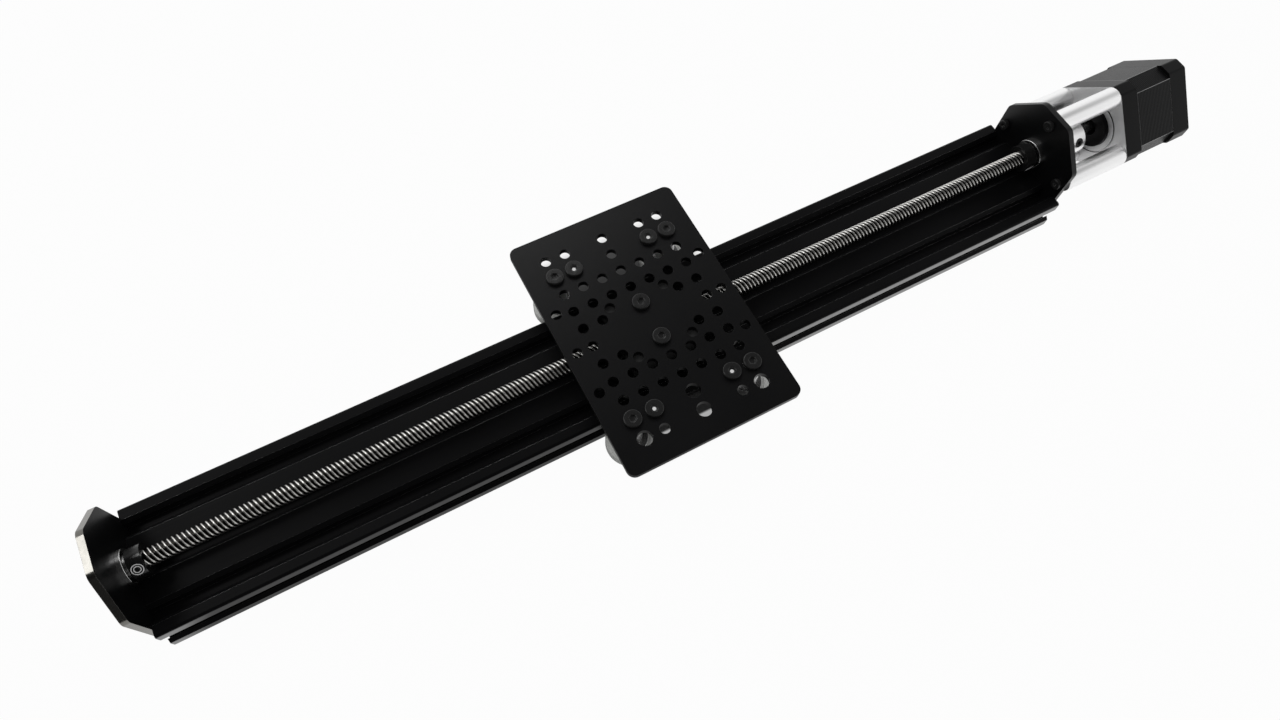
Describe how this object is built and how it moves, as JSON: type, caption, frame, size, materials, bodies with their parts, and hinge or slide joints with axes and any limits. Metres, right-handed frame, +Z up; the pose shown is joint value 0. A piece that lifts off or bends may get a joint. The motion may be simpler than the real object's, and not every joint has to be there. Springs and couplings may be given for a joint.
{
  "type": "lead screw linear actuator",
  "caption": "Lead screw linear actuator: black slotted beam, wheeled carriage plate on a multi-start screw, stepper motor held off one end plate by round standoffs",
  "frame": {"origin": "middle of the overall box, on the plane the beam lies on", "axes": "+X along the beam from the idler end to the motor, +Y across it away from the camera, +Z up"},
  "size_m": [0.5684, 0.127, 0.0566],
  "materials": {
    "black_anodised": "satin black anodised",
    "black_plate": "fine matt black anodised",
    "black_screw": "black oxide",
    "black_collar": "black anodised, glossy",
    "black_bell": "satin black paint",
    "lamination": "dark coated sheet stack",
    "steel": "plain bright",
    "bright_aluminium": "turned, clear anodised",
    "black_plastic": "moulded",
    "clear_plastic": "pale, slightly clear",
    "black_rubber": "matt"
  },
  "bodies": {
    "frame": {"beam": "black_anodised", "idler_end_plate": "black_plate", "motor_end_plate": "black_plate", "end_plate_screws": "black_screw", "screw_bearing_outer_rings": "steel", "motor_standoffs": "bright_aluminium", "motor_bolts": "black_screw", "motor_flush_bolt": "black_screw", "motor_front_bell": "black_bell", "motor_stator": "lamination", "motor_rear_bell": "black_bell", "motor_case_screws": "steel", "motor_lead_grommet": "black_rubber", "motor_bearing_outer_rings": "steel"},
    "screw": {"lead_screw": "steel", "screw_bearing_inner_rings": "steel", "screw_shims": "steel", "lock_collars": "black_collar", "collar_grub_screws": "black_screw", "coupling": "bright_aluminium", "coupling_grub_screws": "black_screw", "motor_rotor": "steel", "motor_bearing_inner_rings": "steel"},
    "carriage": {"carriage_plate": "black_plate", "nut_block": "black_plastic", "nut_block_screws": "black_screw", "plate_screws": "black_screw", "plate_nuts": "steel", "wheel_axle_screws": "black_screw", "axle_nuts": "steel", "axle_shims": "steel", "axle_spacers_long": "bright_aluminium", "axle_spacers_short": "bright_aluminium", "eccentric_spacers": "steel", "wheel_bearing_inner_rings": "steel", "wheel_bearing_shims": "steel"},
    "wheel_far_idler_body": {"wheel_far_idler": "clear_plastic", "wheel_bearings_far_idler": "steel"},
    "wheel_far_motor_body": {"wheel_far_motor": "clear_plastic", "wheel_bearings_far_motor": "steel"},
    "wheel_near_idler_body": {"wheel_near_idler": "clear_plastic", "wheel_bearings_near_idler": "steel"},
    "wheel_near_motor_body": {"wheel_near_motor": "clear_plastic", "wheel_bearings_near_motor": "steel"}
  },
  "joints": [
    {"name": "carriage_slide", "type": "slide", "parent": "frame", "child": "carriage", "axis": [1, 0, 0], "range_m": [-0.1895, 0.1775]},
    {"name": "screw_turn", "type": "hinge", "parent": "frame", "child": "screw", "pos_m": [0, 0, 0.0284], "axis": [1, 0, 0], "continuous": true},
    {"name": "roll_far_idler", "type": "hinge", "parent": "carriage", "child": "wheel_far_idler_body", "pos_m": [-0.06375, 0.04, 0.01], "axis": [0, 0, 1], "continuous": true},
    {"name": "roll_far_motor", "type": "hinge", "parent": "carriage", "child": "wheel_far_motor_body", "pos_m": [-0.00375, 0.04, 0.01], "axis": [0, 0, 1], "continuous": true},
    {"name": "roll_near_idler", "type": "hinge", "parent": "carriage", "child": "wheel_near_idler_body", "pos_m": [-0.06455, -0.04, 0.01], "axis": [0, 0, 1], "continuous": true},
    {"name": "roll_near_motor", "type": "hinge", "parent": "carriage", "child": "wheel_near_motor_body", "pos_m": [-0.00295, -0.04, 0.01], "axis": [0, 0, 1], "continuous": true}
  ],
  "couplings": [
    {"joint": "screw_turn", "follows": "carriage_slide", "rad_per_m": -785.4},
    {"joint": "roll_far_idler", "follows": "carriage_slide", "rad_per_m": -91.996},
    {"joint": "roll_far_motor", "follows": "carriage_slide", "rad_per_m": -91.996},
    {"joint": "roll_near_idler", "follows": "carriage_slide", "rad_per_m": 91.996},
    {"joint": "roll_near_motor", "follows": "carriage_slide", "rad_per_m": 91.996}
  ]
}
